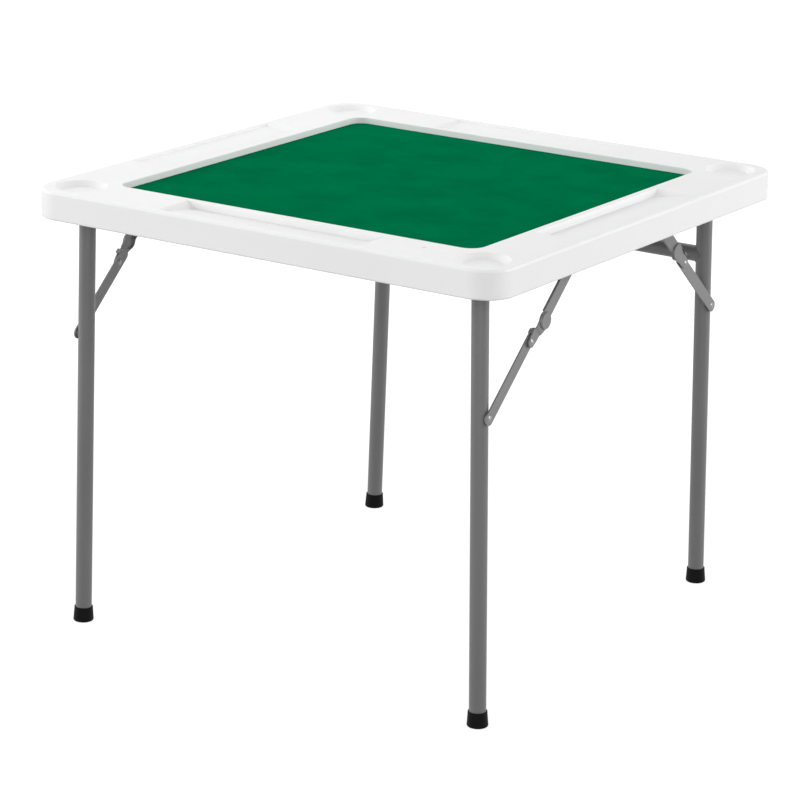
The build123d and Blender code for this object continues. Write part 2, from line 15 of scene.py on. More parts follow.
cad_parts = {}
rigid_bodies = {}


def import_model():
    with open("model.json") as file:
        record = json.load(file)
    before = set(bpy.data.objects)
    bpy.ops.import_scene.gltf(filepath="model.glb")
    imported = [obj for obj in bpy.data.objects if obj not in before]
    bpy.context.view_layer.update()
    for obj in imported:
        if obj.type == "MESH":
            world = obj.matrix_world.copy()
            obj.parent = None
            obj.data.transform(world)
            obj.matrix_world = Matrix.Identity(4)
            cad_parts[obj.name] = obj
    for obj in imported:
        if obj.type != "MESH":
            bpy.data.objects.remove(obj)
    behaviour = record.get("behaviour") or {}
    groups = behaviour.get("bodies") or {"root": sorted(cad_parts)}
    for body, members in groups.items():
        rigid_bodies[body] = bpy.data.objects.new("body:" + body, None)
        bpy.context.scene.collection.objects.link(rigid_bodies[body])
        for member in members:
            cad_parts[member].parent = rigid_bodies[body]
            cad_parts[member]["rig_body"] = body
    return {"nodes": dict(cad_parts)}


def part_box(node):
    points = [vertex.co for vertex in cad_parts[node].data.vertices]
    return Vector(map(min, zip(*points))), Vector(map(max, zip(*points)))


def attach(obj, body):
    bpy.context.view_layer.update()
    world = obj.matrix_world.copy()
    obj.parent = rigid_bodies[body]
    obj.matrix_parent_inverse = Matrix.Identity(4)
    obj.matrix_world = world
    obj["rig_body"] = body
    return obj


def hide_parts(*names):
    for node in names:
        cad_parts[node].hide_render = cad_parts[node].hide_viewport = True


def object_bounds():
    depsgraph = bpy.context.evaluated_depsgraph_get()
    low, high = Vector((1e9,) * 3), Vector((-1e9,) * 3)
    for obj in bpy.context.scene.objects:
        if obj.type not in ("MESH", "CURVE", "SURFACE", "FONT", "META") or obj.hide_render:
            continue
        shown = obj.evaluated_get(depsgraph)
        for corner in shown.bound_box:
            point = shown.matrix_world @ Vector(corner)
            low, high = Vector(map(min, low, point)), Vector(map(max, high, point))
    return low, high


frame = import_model()

bl_info = {
    "name": "Folding card table",
    "version": (1, 0, 0),
    "blender": (4, 5, 0),
    "location": "3D Viewport > Sidebar > Card table",
    "description": "Finishes, felt, welds and screws of a folding card table",
    "category": "Object",
}

CAD_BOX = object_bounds()
SIDES = {"left": -1, "right": 1}
FRAMES = ("front", "rear")
GOLDEN_TURN = math.pi * (3 - math.sqrt(5))
# Points closer than this, in metres, are one point
SAME_POINT = 1e-6
# Where the felt's fine rows lie, as shares of its pressed edge
EDGE_SHARES = (0, 0.15, 0.4, 0.7, 1)
# The felt's unevenness: how fast its finer waves fade, how much finer each is, and how many there are
FADE, GROWTH, OCTAVES = 1, 2, 3
# The pan head's outline: angles out from its top, in radians, and the power that its roundness takes
PAN_TURNS = (0.25, 0.5, 0.75, 1.0, 1.2, 1.35)
PAN_FULLNESS = 0.8
# Each lamp's name, its turn and rise in degrees, its distance in metres and its power in watts
LAMPS = (
    ("lamp_left", -56.5, 17, 4.0, 86),
    ("lamp_right", 123.5, 17, 4.0, 84),
    ("lamp_front", 33.5, 15, 4.0, 58),
    ("lamp_top", -124, 52, 3.0, 29),
)


def names(*patterns):
    """Every CAD node name made from patterns by filling in {f} for a frame and {s} for a side."""
    found = []
    for pattern in patterns:
        for f in FRAMES if "{f}" in pattern else ("",):
            for s in SIDES if "{s}" in pattern else ("",):
                found.append(pattern.format(f=f, s=s))
    return found


def body_of(node):
    """Name of the body that carries a CAD node."""
    return frame["nodes"][node]["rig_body"]


def middle(node):
    """Centre of a CAD node's box."""
    low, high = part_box(node)
    return (low + high) / 2


# Settings that a user would change


def length(name, description, default):
    """A size in metres."""
    return FloatProperty(
        name=name, description=description, default=default, min=0, precision=4, subtype="DISTANCE", unit="LENGTH"
    )


def angle(name, description, default):
    """An angle, given in degrees."""
    return FloatProperty(
        name=name, description=description, default=math.radians(default), subtype="ANGLE", unit="ROTATION"
    )


def share(name, description, default):
    """A share from 0 to 1."""
    return FloatProperty(name=name, description=description, default=default, min=0, max=1, subtype="FACTOR")


def colour(name, description, default):
    """A linear colour."""
    return FloatVectorProperty(
        name=name, description=description, default=default, size=3, min=0, max=1, subtype="COLOR"
    )


class CardTableFinishes(bpy.types.PropertyGroup):
    """Colours of the table's materials."""

    plastic: colour("Plastic", "Moulded polyethylene of the top", (0.83, 0.83, 0.835))
    felt: colour("Felt", "Needled felt of the playing field", (0.0, 0.163, 0.0615))
    board: colour("Board", "Hardboard under the felt", (0.19, 0.105, 0.052))
    tube: colour("Tube paint", "Powder coat of the leg frames", (0.135, 0.135, 0.137))
    link: colour("Link paint", "Powder coat of the brace links", (0.165, 0.166, 0.168))
    rail: colour("Rail paint", "Powder coat of the rails and brackets", (0.150, 0.151, 0.153))
    zinc: colour("Zinc", "Plating of the pins, push nuts and screws", (0.62, 0.62, 0.60))
    rivet: colour("Rivet steel", "Dull steel of the rivets", (0.24, 0.24, 0.242))
    nylon: colour("Nylon", "Hinge bushes", (0.028, 0.028, 0.029))
    rubber: colour("Foot rubber", "Foot caps", (0.0022, 0.0022, 0.0024))


class CardTableFelt(bpy.types.PropertyGroup):
    """Shape of the felt sheet."""

    corner: length("Corner radius", "Radius that the felt is cut to at each corner", 0.0245)
    pitch: length("Mesh pitch", "Distance between the points of the sheet", 0.006)
    edge_drop: length("Edge drop", "How far the cut edge is pressed down", 0.00035)
    edge_run: length("Edge run", "Width of the pressed edge", 0.003)
    ripple: length("Ripple", "Height of the felt's unevenness", 0.00012)
    ripple_size: length("Ripple size", "Distance over which the felt's height changes", 0.09)


class CardTableWelds(bpy.types.PropertyGroup):
    """Shape of the weld beads."""

    radius: length("Bead radius", "Largest radius of a bead", 0.0016)
    wave: share("Ripple depth", "Depth of the ripples as a share of the radius", 0.16)
    wave_pitch: length("Ripple pitch", "Distance from one ripple to the next", 0.0019)
    unevenness: share("Unevenness", "Random part of a ripple as a share of its depth", 0.5)
    steps: IntProperty(name="Steps", description="Rings along a bead", default=168, min=24)
    ring: IntProperty(name="Ring points", description="Points round a bead", default=8, min=6)


class CardTableScrews(bpy.types.PropertyGroup):
    """Shape of the screws' pan heads."""

    head: length("Head diameter", "Diameter of the pan head", 0.008)
    height: length("Head height", "Height of the pan head", 0.0024)
    slot: length("Recess length", "Length of the cross recess", 0.0046)
    slot_width: length("Recess width", "Width of the cross recess", 0.0011)
    slot_depth: length("Recess depth", "Depth of the cross recess", 0.0014)
    shank: length("Shank diameter", "Diameter over the thread", 0.004)
    shank_length: length("Shank length", "Length under the head", 0.0079)
    flank: share("Recess draft", "Width of the cross recess at its bottom as a share of its mouth", 0.55)
    rim: share("Head rim", "Height of the head's upright edge as a share of its height", 0.12)
    sharpness: angle("Sharp edge", "Smallest turn between two faces that is drawn as an edge", 35)
    segments: IntProperty(name="Segments", description="Steps round the head", default=32, min=12)


class CardTableStage(bpy.types.PropertyGroup):
    """Camera, floor and lamps."""

    look_at: FloatVectorProperty(
        name="Look at", description="Point that the camera aims at", default=(0, 0, 0.45), size=3, unit="LENGTH"
    )
    slide: FloatVectorProperty(
        name="Slide",
        description="How far the aim slides to the right and up in the picture",
        default=(-0.01215, -0.08413),
        size=2,
        precision=5,
        unit="LENGTH",
    )
    azimuth: angle("Azimuth", "Turn of the camera round the table", 33.529)
    elevation: angle("Elevation", "Height of the camera as an angle", 16.759)
    roll: angle("Roll", "Turn of the picture", 1.1417)
    distance: length("Distance", "From the camera to the point it aims at", 5.5402)
    lens: FloatProperty(name="Lens", description="Focal length in millimetres", default=151.195, min=1)
    floor_radius: length("Floor radius", "Radius of the floor", 30)
    floor_sides: IntProperty(name="Floor sides", description="Sides of the round floor", default=96, min=24)
    floor: colour("Floor", "Colour of the floor as the table sees it", (0.24, 0.24, 0.24))
    floor_glow: share("Floor glow", "White that only the camera sees on the floor under the table", 0.84)
    glow_start: length("Glow start", "Distance from the middle where the floor's glow begins to grow", 0.9)
    glow_end: length("Glow end", "Distance from the middle where the floor looks plain white", 2.6)
    sky: FloatProperty(name="Sky", description="Strength of the even studio light", default=0.45, min=0)
    lamp_size: length("Lamp size", "Side of each soft box", 2.4)


GROUPS = {
    "finishes": CardTableFinishes,
    "felt": CardTableFelt,
    "welds": CardTableWelds,
    "screws": CardTableScrews,
    "stage": CardTableStage,
}


class CardTableSettings(bpy.types.PropertyGroup):
    """All the settings of the card table."""

    finishes: PointerProperty(type=CardTableFinishes, name="Finishes", description="Colours")
    felt: PointerProperty(type=CardTableFelt, name="Felt", description="Felt sheet")
    welds: PointerProperty(type=CardTableWelds, name="Welds", description="Weld beads")
    screws: PointerProperty(type=CardTableScrews, name="Screws", description="Screw heads")
    stage: PointerProperty(type=CardTableStage, name="Stage", description="Camera, floor and lamps")


# Node materials


class Finish:
    """A node material: a shader with a base colour, and textures in the table's own metres."""

    def __init__(self, name, base, **constants):
        self.material = bpy.data.materials.new(name)
        self.material.use_nodes = True
        self.material.diffuse_color = (*base, 1)
        self.tree = self.material.node_tree
        self.shader = self.tree.nodes["Principled BSDF"]
        self.base = base
        self.column = 0
        self.metres = self.add("ShaderNodeTexCoord").outputs["Object"]
        self.set("Base Color", (*base, 1))
        for socket, value in constants.items():
            self.set(socket.replace("_", " "), value)

    def set(self, socket, value):
        """Set one of the shader's own sockets."""
        self.shader.inputs[socket].default_value = value

    def add(self, kind):
        """Add a node to the left of the shader."""
        made = self.tree.nodes.new(kind)
        self.column += 1
        made.location = (-240 * (1 + self.column % 5), -260 * (self.column // 5))
        return made

    def link(self, output, node, socket):
        """Join an output to a node's socket."""
        self.tree.links.new(output, node.inputs[socket])

    def noise(self, size, detail=2.0, rough=0.5, stretch=(1, 1, 1)):
        """Noise with features about size metres across, longer along an axis where stretch is above 1."""
        mapping = self.add("ShaderNodeMapping")
        mapping.vector_type = "TEXTURE"
        mapping.inputs["Scale"].default_value = stretch
        self.link(self.metres, mapping, "Vector")
        texture = self.add("ShaderNodeTexNoise")
        texture.inputs["Scale"].default_value = 1 / size
        texture.inputs["Detail"].default_value = detail
        texture.inputs["Roughness"].default_value = rough
        self.link(mapping.outputs["Vector"], texture, "Vector")
        return texture.outputs["Fac"]

    def cells(self, size):
        """Distance to the nearest of many points that lie about size metres apart."""
        texture = self.add("ShaderNodeTexVoronoi")
        texture.inputs["Scale"].default_value = 1 / size
        self.link(self.metres, texture, "Vector")
        return texture.outputs["Distance"]

    def ramp(self, value, low, high, start=0.0, end=1.0):
        """Map a value from its own range to another one."""
        mapped = self.add("ShaderNodeMapRange")
        mapped.inputs["From Min"].default_value = low
        mapped.inputs["From Max"].default_value = high
        mapped.inputs["To Min"].default_value = start
        mapped.inputs["To Max"].default_value = end
        self.link(value, mapped, "Value")
        return mapped.outputs["Result"]

    def total(self, first, second, operation="ADD"):
        """Two values added, or joined by another operation."""
        made = self.add("ShaderNodeMath")
        made.operation = operation
        for place, value in enumerate((first, second)):
            if isinstance(value, (int, float)):
                made.inputs[place].default_value = value
            else:
                self.tree.links.new(value, made.inputs[place])
        return made.outputs["Value"]

    def tint(self, value, dark, light):
        """Let the base colour run from dark to light times itself as value goes from 0 to 1."""
        mixed = self.add("ShaderNodeMix")
        mixed.data_type = "RGBA"
        sockets = {s.identifier: s for s in mixed.inputs}
        sockets["A_Color"].default_value = (*(min(1, c * dark) for c in self.base), 1)
        sockets["B_Color"].default_value = (*(min(1, c * light) for c in self.base), 1)
        self.tree.links.new(value, sockets["Factor_Float"])
        outputs = {s.identifier: s for s in mixed.outputs}
        self.tree.links.new(outputs["Result_Color"], self.shader.inputs["Base Color"])

    def gloss(self, value, low, high):
        """Let the roughness run from low to high as value goes from 0 to 1."""
        self.link(self.ramp(value, 0, 1, low, high), self.shader, "Roughness")

    def relief(self, *layers):
        """Bump from pairs of a height value and its real depth in metres, one over another."""
        normal = None
        for height, depth in layers:
            bump = self.add("ShaderNodeBump")
            bump.inputs["Distance"].default_value = depth
            self.link(height, bump, "Height")
            if normal is not None:
                self.link(normal, bump, "Normal")
            normal = bump.outputs["Normal"]
        self.link(normal, self.shader, "Normal")


def moulded_plastic(base):
    """White blow-moulded polyethylene: a satin skin with a fine leathery grain and a slow waviness."""
    finish = Finish(
        "moulded_plastic",
        base,
        IOR=1.5,
        Specular_IOR_Level=0.42,
        Subsurface_Weight=0.10,
        Subsurface_Radius=(1.0, 0.95, 0.9),
        Subsurface_Scale=0.0025,
    )
    slow = finish.noise(0.16, detail=3)
    grain = finish.noise(0.0011, detail=3, rough=0.6)
    pebbles = finish.cells(0.0016)
    mixed = finish.total(finish.ramp(slow, 0.3, 0.7, 0, 0.75), finish.ramp(grain, 0.3, 0.7, 0, 0.25))
    finish.tint(mixed, 0.982, 1.012)
    finish.gloss(finish.ramp(finish.noise(0.03, detail=4), 0.3, 0.7), 0.40, 0.52)
    finish.relief((slow, 0.0006), (pebbles, 0.00005), (grain, 0.00006))
    return finish.material


def needled_felt(base):
    """Green needled felt: a cloudy, streaky dye over matted fibres, with no sheen."""
    finish = Finish("needled_felt", base, Roughness=0.95, Specular_IOR_Level=0.0)
    clouds = finish.noise(0.075, detail=4, rough=0.55)
    streaks = finish.noise(0.010, detail=3, stretch=(4.5, 1, 1))
    fibres = finish.noise(0.0006, detail=3, rough=0.7, stretch=(3.2, 1, 1))
    crossing = finish.noise(0.0007, detail=3, rough=0.7, stretch=(1, 3.4, 1))
    mat = finish.total(fibres, crossing, "MAXIMUM")
    dye = finish.total(finish.ramp(clouds, 0.3, 0.7, 0, 0.5), finish.ramp(streaks, 0.3, 0.7, 0, 0.22))
    finish.tint(finish.total(dye, finish.ramp(mat, 0.4, 0.8, 0, 0.28)), 0.82, 1.19)
    finish.relief((clouds, 0.0008), (mat, 0.0004))
    return finish.material


def hardboard(base):
    """Brown pressed fibre board."""
    finish = Finish("hardboard", base, Roughness=0.7, Specular_IOR_Level=0.3)
    fibres = finish.noise(0.0012, detail=5, rough=0.7, stretch=(4, 1, 1))
    finish.tint(finish.ramp(fibres, 0.3, 0.7), 0.72, 1.25)
    finish.relief((fibres, 0.0002))
    return finish.material


def powder_coat(name, base, low, high, length_axis=(1, 1, 1)):
    """Grey satin powder coat on steel: orange peel, a faint flake, and a roughness from low to high."""
    finish = Finish(name, base, IOR=1.5, Specular_IOR_Level=0.5, Metallic=0.0)
    slow = finish.noise(0.035, detail=3, stretch=length_axis)
    peel = finish.noise(0.0014, detail=2, rough=0.45)
    flake = finish.cells(0.00045)
    mixed = finish.total(finish.ramp(slow, 0.3, 0.7, 0, 0.55), finish.ramp(flake, 0.1, 0.7, 0, 0.45))
    finish.tint(mixed, 0.90, 1.10)
    finish.gloss(finish.ramp(slow, 0.3, 0.7), low, high)
    finish.relief((peel, 0.00009), (flake, 0.00001))
    return finish.material


def bare_steel(name, base, metallic, low, high):
    """Steel of a small fastener, with tool marks and a patchy bloom. Its roughness runs from low to high."""
    finish = Finish(name, base, Metallic=metallic)
    bloom = finish.noise(0.004, detail=4)
    marks = finish.noise(0.0004, detail=2, stretch=(6, 1, 1))
    finish.tint(finish.ramp(bloom, 0.3, 0.7), 0.82, 1.12)
    finish.gloss(finish.ramp(bloom, 0.3, 0.7), low, high)
    finish.relief((marks, 0.00002))
    return finish.material


def bush_nylon(base):
    """Dark nylon with a faint moulded bloom."""
    finish = Finish("bush_nylon", base, Specular_IOR_Level=0.45)
    bloom = finish.noise(0.003, detail=3)
    finish.tint(finish.ramp(bloom, 0.3, 0.7), 0.8, 1.25)
    finish.gloss(bloom, 0.38, 0.58)
    finish.relief((bloom, 0.00004))
    return finish.material


def foot_rubber(base):
    """Black moulded rubber: a soft sheen with fine pores and dusty patches."""
    finish = Finish("foot_rubber", base, Specular_IOR_Level=0.08)
    dust = finish.noise(0.008, detail=4, rough=0.6)
    pores = finish.cells(0.0007)
    finish.tint(finish.ramp(dust, 0.35, 0.75), 0.75, 2.0)
    finish.gloss(finish.ramp(dust, 0.3, 0.7), 0.46, 0.66)
    finish.relief((pores, 0.00005), (dust, 0.0001))
    return finish.material


def wear(material, *nodes):
    """Give CAD nodes a finish through their objects' own material slots."""
    for node in nodes:
        thing = frame["nodes"][node]
        for place in thing.material_slots:
            place.link = "OBJECT"
            place.material = material


# Mesh helpers


def piece(name, shape, material, body):
    """A smooth-shaded piece from a bmesh, riding on a body."""
    mesh = bpy.data.meshes.new(name)
    shape.to_mesh(mesh)
    shape.free()
    mesh.shade_smooth()
    mesh.materials.append(material)
    thing = bpy.data.objects.new(name, mesh)
    bpy.context.scene.collection.objects.link(thing)
    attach(thing, body)
    return thing


def edge_distance(x, y, half_width, half_depth, radius):
    """How far a point lies inside the edge of a rectangle with round corners."""
    over_x = abs(x) - (half_width - radius)
    over_y = abs(y) - (half_depth - radius)
    if over_x > 0 and over_y > 0:
        return radius - math.hypot(over_x, over_y)
    return radius - max(over_x, over_y)


def round_corner(x, y, half_width, half_depth, radius):
    """Move a point of a plain rectangle so that the rectangle's corners become round."""
    over_x = abs(x) - (half_width - radius)
    over_y = abs(y) - (half_depth - radius)
    if over_x <= 0 or over_y <= 0:
        return x, y
    pull = 1 - max(over_x, over_y) / math.hypot(over_x, over_y)
    return x - math.copysign(over_x * pull, x), y - math.copysign(over_y * pull, y)


def ruled_lines(half, fine, pitch):
    """Places of grid lines from -half to half: close together at both ends, about pitch apart between."""
    inner = half - fine[-1]
    count = math.ceil(2 * inner / pitch)
    between = [2 * inner * i / count - inner for i in range(1, count)]
    return [-half + f for f in fine] + between + [half - f for f in reversed(fine)]


def bead(shape, points, normals, welds):
    """Add a closed weld bead along a loop of points, rippled as the torch leaves it."""
    count = len(points)
    run = 0.0
    rings = []
    for i in range(count):
        tangent = (points[(i + 1) % count] - points[i - 1]).normalized()
        out = (normals[i] - tangent * normals[i].dot(tangent)).normalized()
        side = tangent.cross(out)
        ripple = abs(math.sin(math.pi * run / welds.wave_pitch))
        random = welds.unevenness * noise.noise(points[i] / welds.wave_pitch)
        radius = welds.radius * (1 + welds.wave * (ripple - 1 + random))
        ring = []
        for k in range(welds.ring):
            turn = 2 * math.pi * k / welds.ring
            ring.append(shape.verts.new(points[i] + radius * (math.cos(turn) * out + math.sin(turn) * side)))
        rings.append(ring)
        run += (points[(i + 1) % count] - points[i]).length
    for i in range(count):
        for k in range(welds.ring):
            j, m = (i + 1) % count, (k + 1) % welds.ring
            shape.faces.new((rings[i][k], rings[i][m], rings[j][m], rings[j][k]))


def leg_axis(f, s):
    """Radius of a leg tube, the point where its axis meets the hinge axis, and the direction down the leg."""
    low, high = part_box(f"{f}_leg_{s}")
    hinge = middle(f"{f}_hinge_tube")
    radius = (high.y - low.y) / 2
    top_x, foot_x = (low.x + radius, high.x - radius) if SIDES[s] > 0 else (high.x - radius, low.x + radius)
    top = Vector((top_x, hinge.y, hinge.z))
    return radius, top, (Vector((foot_x, hinge.y, low.z)) - top).normalized()


def saddle_weld(shape, f, s, welds):
    """Bead round the mouth of a leg where it sits under the hinge tube."""
    radius, top, down = leg_axis(f, s)
    low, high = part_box(f"{f}_hinge_tube")
    tube = (high.z - low.z) / 2
    across = down.cross(Vector((0, 1, 0))).normalized()
    points, normals = [], []
    for i in range(welds.steps):
        turn = 2 * math.pi * i / welds.steps
        out = math.cos(turn) * across + math.sin(turn) * Vector((0, 1, 0))
        depth = -math.sqrt(max(0, tube**2 - (radius * out.y) ** 2))
        point = radius * out + down * (depth - radius * out.z) / down.z
        points.append(top + point)
        normals.append(out + Vector((0, point.y, point.z)).normalized())
    bead(shape, points, normals, welds)


def crossbar_weld(shape, s, welds):
    """Bead round one end of the crossbar where it meets its leg."""
    radius, top, down = leg_axis("rear", s)
    low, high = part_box("rear_crossbar")
    centre, bar = (low + high) / 2, (high.z - low.z) / 2
    points, normals = [], []
    for i in range(welds.steps):
        turn = 2 * math.pi * i / welds.steps
        out = Vector((0, math.sin(turn), math.cos(turn)))
        height = centre.z + bar * out.z
        leg_x = top.x + down.x * (height - top.z) / down.z
        reach = math.sqrt(radius**2 - (bar * out.y) ** 2)
        points.append(Vector((leg_x - SIDES[s] * reach, centre.y + bar * out.y, height)))
        normals.append(out + Vector((-SIDES[s] * reach, bar * out.y, 0)).normalized())
    bead(shape, points, normals, welds)


def screw_mesh(screws):
    """One pan-head screw, head down, with a cross recess. Its origin is under the head."""
    head, shank = screws.head / 2, screws.shank / 2
    profile = [(0, -screws.height)]
    profile += [(head * math.sin(a), -screws.height * math.cos(a) ** PAN_FULLNESS) for a in PAN_TURNS]
    profile += [(head, -screws.height * screws.rim), (head, 0), (shank, 0), (shank, screws.shank_length)]
    profile += [(0, screws.shank_length)]
    shape = bmesh.new()
    line = [shape.verts.new((r, 0, z)) for r, z in profile]
    edges = [shape.edges.new(pair) for pair in zip(line, line[1:])]
    bmesh.ops.spin(
        shape, geom=line + edges, axis=(0, 0, 1), cent=(0, 0, 0), steps=screws.segments, angle=2 * math.pi
    )
    bmesh.ops.remove_doubles(shape, verts=shape.verts, dist=SAME_POINT)
    bmesh.ops.recalc_face_normals(shape, faces=shape.faces)
    body = bpy.data.meshes.new("screw")
    shape.to_mesh(body)
    shape.free()
    cutter = bmesh.new()
    for long_x, long_y in ((screws.slot, screws.slot_width), (screws.slot_width, screws.slot)):
        made = bmesh.ops.create_cube(cutter, size=1)["verts"]
        for v in made:
            narrow = screws.flank if v.co.z > 0 else 1.0
            v.co.x *= long_x * narrow
            v.co.y *= long_y * (narrow if long_y > long_x else 1)
            v.co.z = -screws.height - screws.slot_depth if v.co.z < 0 else screws.slot_depth - screws.height
    tool = bpy.data.meshes.new("cross")
    cutter.to_mesh(tool)
    cutter.free()
    return cut(body, tool)


def cut(body, tool):
    """A mesh less another one."""
    things = [bpy.data.objects.new(mesh.name, mesh) for mesh in (body, tool)]
    for thing in things:
        bpy.context.scene.collection.objects.link(thing)
    difference = things[0].modifiers.new("recess", "BOOLEAN")
    difference.operation = "DIFFERENCE"
    difference.solver = "EXACT"
    difference.use_self = True
    difference.object = things[1]
    depsgraph = bpy.context.evaluated_depsgraph_get()
    made = bpy.data.meshes.new_from_object(things[0].evaluated_get(depsgraph))
    for thing in things:
        mesh = thing.data
        bpy.data.objects.remove(thing)
        bpy.data.meshes.remove(mesh)
    return made


def screw_places(node):
    """Point under the head of each screw of a node, found from the separate solids of its mesh."""
    shape = bmesh.new()
    shape.from_mesh(frame["nodes"][node].data)
    bmesh.ops.remove_doubles(shape, verts=shape.verts, dist=SAME_POINT)
    left = set(shape.verts)
    places = []
    while left:
        stack = [left.pop()]
        island = []
        while stack:
            vert = stack.pop()
            island.append(vert.co.copy())
            for edge in vert.link_edges:
                other = edge.other_vert(vert)
                if other in left:
                    left.remove(other)
                    stack.append(other)
        xs, ys, zs = zip(*island)
        places.append(Vector(((min(xs) + max(xs)) / 2, (min(ys) + max(ys)) / 2, min(zs))))
    shape.free()
    return sorted(places, key=lambda p: (p.x, p.y))


# Operators, one for each group of pieces


class CARDTABLE_OT_finish_top(bpy.types.Operator):
    """Give the moulded top its plastic and the board under the felt its fibre"""

    bl_idname = "cardtable.finish_top"
    bl_label = "Finish the top"

    def execute(self, context):
        finishes = context.scene.card_table.finishes
        wear(moulded_plastic(finishes.plastic), "top_panel")
        wear(hardboard(finishes.board), "felt_board")
        return {"FINISHED"}


class CARDTABLE_OT_lay_felt(bpy.types.Operator):
    """Lay the felt sheet in its recess, in place of its plain solid"""

    bl_idname = "cardtable.lay_felt"
    bl_label = "Lay the felt"

    def execute(self, context):
        cut_size = context.scene.card_table.felt
        low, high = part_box("felt_cloth")
        centre = (low + high) / 2
        half_width, half_depth = (high.x - low.x) / 2, (high.y - low.y) / 2
        fine = [cut_size.edge_run * f for f in EDGE_SHARES]
        shape = bmesh.new()
        rows = []
        for v in ruled_lines(half_depth, fine, cut_size.pitch):
            row = []
            for u in ruled_lines(half_width, fine, cut_size.pitch):
                x, y = round_corner(u, v, half_width, half_depth, cut_size.corner)
                inside = edge_distance(x, y, half_width, half_depth, cut_size.corner)
                drop = cut_size.edge_drop * max(0, 1 - inside / cut_size.edge_run) ** 2
                spot = (x / cut_size.ripple_size, y / cut_size.ripple_size, 0)
                swell = 1 + noise.fractal(spot, FADE, GROWTH, OCTAVES)
                row.append(shape.verts.new((x, y, cut_size.ripple * swell - drop)))
            rows.append(row)
        for lower, upper in zip(rows, rows[1:]):
            for i in range(len(lower) - 1):
                shape.faces.new((lower[i], lower[i + 1], upper[i + 1], upper[i]))
        for v in shape.verts:
            v.co += Vector((centre.x, centre.y, high.z))
        felt = needled_felt(context.scene.card_table.finishes.felt)
        sheet = piece("felt_sheet", shape, felt, body_of("felt_cloth"))
        back = sheet.modifiers.new("thickness", "SOLIDIFY")
        back.thickness = high.z - low.z
        back.offset = -1
        back.use_even_offset = False
        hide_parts("felt_cloth")
        return {"FINISHED"}


class CARDTABLE_OT_finish_frames(bpy.types.Operator):
    """Give the leg frames' tubes and saddle washers their powder coat"""

    bl_idname = "cardtable.finish_frames"
    bl_label = "Finish the leg frames"

    def execute(self, context):
        base = context.scene.card_table.finishes.tube
        coat = powder_coat("tube_paint", base, low=0.34, high=0.46, length_axis=(1, 1, 5))
        wear(coat, *names("{f}_hinge_tube", "{f}_leg_{s}", "{f}_saddle_washer_{s}"), "rear_crossbar")
        return {"FINISHED"}


class CARDTABLE_OT_finish_braces(bpy.types.Operator):
    """Give the brace links their powder coat"""

    bl_idname = "cardtable.finish_braces"
    bl_label = "Finish the braces"

    def execute(self, context):
        base = context.scene.card_table.finishes.link
        coat = powder_coat("link_paint", base, low=0.32, high=0.44)
        wear(coat, *names("{f}_lower_link_{s}", "{f}_upper_link_{s}"))
        return {"FINISHED"}


class CARDTABLE_OT_finish_rails(bpy.types.Operator):
    """Give the side rails and brace brackets their powder coat"""

    bl_idname = "cardtable.finish_rails"
    bl_label = "Finish the rails"

    def execute(self, context):
        base = context.scene.card_table.finishes.rail
        coat = powder_coat("rail_paint", base, low=0.36, high=0.50, length_axis=(1, 4, 1))
        wear(coat, *names("side_rail_{s}", "rear_brace_bracket_{s}"))
        return {"FINISHED"}


class CARDTABLE_OT_finish_fasteners(bpy.types.Operator):
    """Give the rivets their dull steel, plate the pins, push nuts and screws, and fit screw heads with a cross
    recess
    """

    bl_idname = "cardtable.finish_fasteners"
    bl_label = "Finish the fasteners"

    def execute(self, context):
        settings = context.scene.card_table
        dull = bare_steel("rivet_steel", settings.finishes.rivet, metallic=0.6, low=0.20, high=0.32)
        wear(dull, *names("{f}_leg_rivet_{s}", "{f}_knee_rivet_{s}"))
        wear(dull, *names("{f}_knee_rivet_tail_{s}", "{f}_top_rivet_{s}"))
        plating = bare_steel("plated_steel", settings.finishes.zinc, metallic=1.0, low=0.26, high=0.44)
        wear(plating, *names("{f}_hinge_pin_{s}", "{f}_push_nuts"))
        master = screw_mesh(settings.screws)
        for node in ("rail_screws", "bracket_screws"):
            shape = bmesh.new()
            for count, place in enumerate(screw_places(node)):
                turned = master.copy()
                seat = place + Vector((0, 0, settings.screws.height))
                turned.transform(Matrix.Translation(seat) @ Matrix.Rotation(count * GOLDEN_TURN, 4, "Z"))
                shape.from_mesh(turned)
                bpy.data.meshes.remove(turned)
            heads = piece(f"{node}_recessed", shape, plating, body_of(node))
            heads.data.set_sharp_from_angle(angle=settings.screws.sharpness)
            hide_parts(node)
        bpy.data.meshes.remove(master)
        return {"FINISHED"}


class CARDTABLE_OT_run_welds(bpy.types.Operator):
    """Run the weld beads of the leg frames"""

    bl_idname = "cardtable.run_welds"
    bl_label = "Run the welds"

    def execute(self, context):
        settings = context.scene.card_table
        coat = powder_coat("weld_paint", settings.finishes.tube, low=0.38, high=0.52)
        for f in FRAMES:
            shape = bmesh.new()
            for s in SIDES:
                saddle_weld(shape, f, s, settings.welds)
                if f == "rear":
                    crossbar_weld(shape, s, settings.welds)
            bmesh.ops.recalc_face_normals(shape, faces=shape.faces)
            piece(f"{f}_frame_welds", shape, coat, body_of(f"{f}_hinge_tube"))
        return {"FINISHED"}


class CARDTABLE_OT_finish_feet(bpy.types.Operator):
    """Give the foot caps their rubber and the hinge bushes their nylon"""

    bl_idname = "cardtable.finish_feet"
    bl_label = "Finish the feet and bushes"

    def execute(self, context):
        finishes = context.scene.card_table.finishes
        wear(foot_rubber(finishes.rubber), *names("{f}_foot_cap_{s}"))
        wear(bush_nylon(finishes.nylon), *names("{f}_hinge_bush_{s}"))
        return {"FINISHED"}


# Stage


